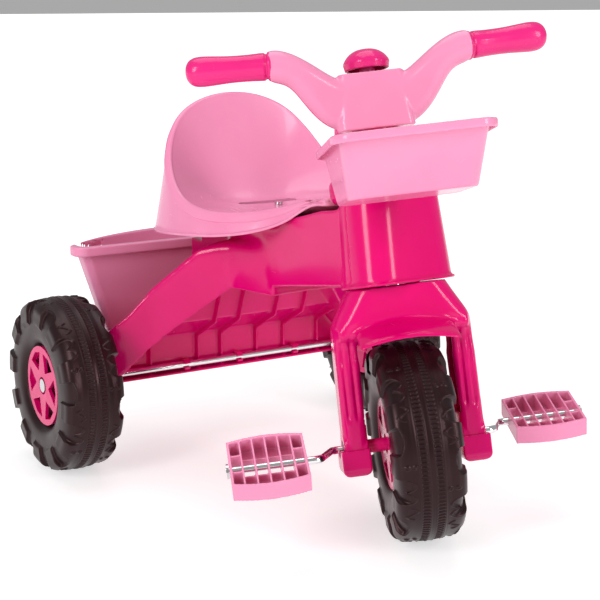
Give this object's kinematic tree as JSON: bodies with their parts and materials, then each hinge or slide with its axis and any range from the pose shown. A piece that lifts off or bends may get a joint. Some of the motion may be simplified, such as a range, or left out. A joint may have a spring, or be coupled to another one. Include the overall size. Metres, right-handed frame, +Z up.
{
  "type": "children's tricycle",
  "caption": "Plastic pedal tricycle for a small child: front-wheel pedals, raked fork, handlebar with horn, bucket seat, front basket and rear bucket.",
  "frame": {"origin": "on the floor under the middle of the tricycle's box", "axes": "-Y is forward, +X is the rider's left, +Z is up"},
  "size_m": [0.5254, 0.6908, 0.529],
  "materials": {
    "body_pink": "glossy moulded plastic, deep pink",
    "pale_pink": "glossy moulded plastic, pale pink",
    "grip_pink": "satin soft plastic, deep pink",
    "tyre_black": "satin blow-moulded plastic, near black",
    "chrome": "plated steel rod",
    "zinc": "zinc-plated steel",
    "nylon": "natural nylon"
  },
  "bodies": {
    "chassis": {"main_body": "body_pink", "column_cover": "body_pink", "steering_bush_lower": "nylon", "steering_bush_upper": "nylon", "steering_collar": "body_pink", "rear_axle": "chrome", "axle_clips": "body_pink", "seat": "pale_pink", "seat_bolts": "zinc", "rear_bucket": "pale_pink", "bucket_bolts": "zinc", "axle_spacer_right": "nylon", "axle_washer_right": "zinc", "axle_nut_right": "zinc", "axle_spacer_left": "nylon", "axle_washer_left": "zinc", "axle_nut_left": "zinc"},
    "front_end": {"fork": "body_pink", "fork_cap_right": "body_pink", "crank_bearing_right": "nylon", "grip_right": "grip_pink", "fork_cap_left": "body_pink", "crank_bearing_left": "nylon", "grip_left": "grip_pink", "steering_stem": "chrome", "handlebar_neck": "body_pink", "handlebar_front_shell": "pale_pink", "handlebar_rear_shell": "body_pink", "front_basket": "pale_pink", "basket_bracket": "body_pink", "horn_spring": "zinc", "horn_bellows": "nylon"},
    "horn": {"horn_button": "grip_pink"},
    "front_wheel": {"front_tyre": "tyre_black", "front_hub_cap_left": "body_pink", "front_hub_cap_right": "body_pink", "front_wheel_core": "nylon", "front_spacer_right": "body_pink", "pedal_end_cap_right": "zinc", "front_spacer_left": "body_pink", "pedal_end_cap_left": "zinc", "crank_axle": "chrome"},
    "pedal_left": {"pedal_left": "pale_pink"},
    "pedal_right": {"pedal_right": "pale_pink"},
    "rear_wheel_left": {"rear_tyre_left": "tyre_black", "rear_hub_cap_left": "body_pink", "rear_inner_cap_left": "body_pink", "rear_wheel_bush_left": "nylon"},
    "rear_wheel_right": {"rear_tyre_right": "tyre_black", "rear_hub_cap_right": "body_pink", "rear_inner_cap_right": "body_pink", "rear_wheel_bush_right": "nylon"}
  },
  "joints": [
    {"name": "steering_turn", "type": "hinge", "parent": "chassis", "child": "front_end", "pos_m": [0, -0.13715, 0.26245], "axis": [0, 0.2329, 0.9725], "range_deg": [-19.35, 70.65]},
    {"name": "front_wheel_spin", "type": "hinge", "parent": "front_end", "child": "front_wheel", "pos_m": [-0.00225, -0.17967, 0.10503], "axis": [0.9015, -0.421, 0.1008], "continuous": true},
    {"name": "pedal_right_spin", "type": "hinge", "parent": "front_wheel", "child": "pedal_right", "pos_m": [-0.1689, -0.16847, 0.10346], "axis": [0.9015, -0.421, 0.1008], "continuous": true},
    {"name": "pedal_left_spin", "type": "hinge", "parent": "front_wheel", "child": "pedal_left", "pos_m": [0.1644, -0.19087, 0.1066], "axis": [0.9015, -0.421, 0.1008], "continuous": true},
    {"name": "rear_wheel_right_spin", "type": "hinge", "parent": "chassis", "child": "rear_wheel_right", "pos_m": [-0.2261, 0.21743, 0.104], "axis": [1, 0, 0], "continuous": true},
    {"name": "rear_wheel_left_spin", "type": "hinge", "parent": "chassis", "child": "rear_wheel_left", "pos_m": [0.2261, 0.21743, 0.104], "axis": [1, 0, 0], "continuous": true},
    {"name": "horn_press", "type": "slide", "parent": "front_end", "child": "horn", "axis": [0, -0.2329, -0.9725], "range_m": [0, 0.004], "stiffness_N_per_m": 400, "springref_m": -0.001}
  ]
}
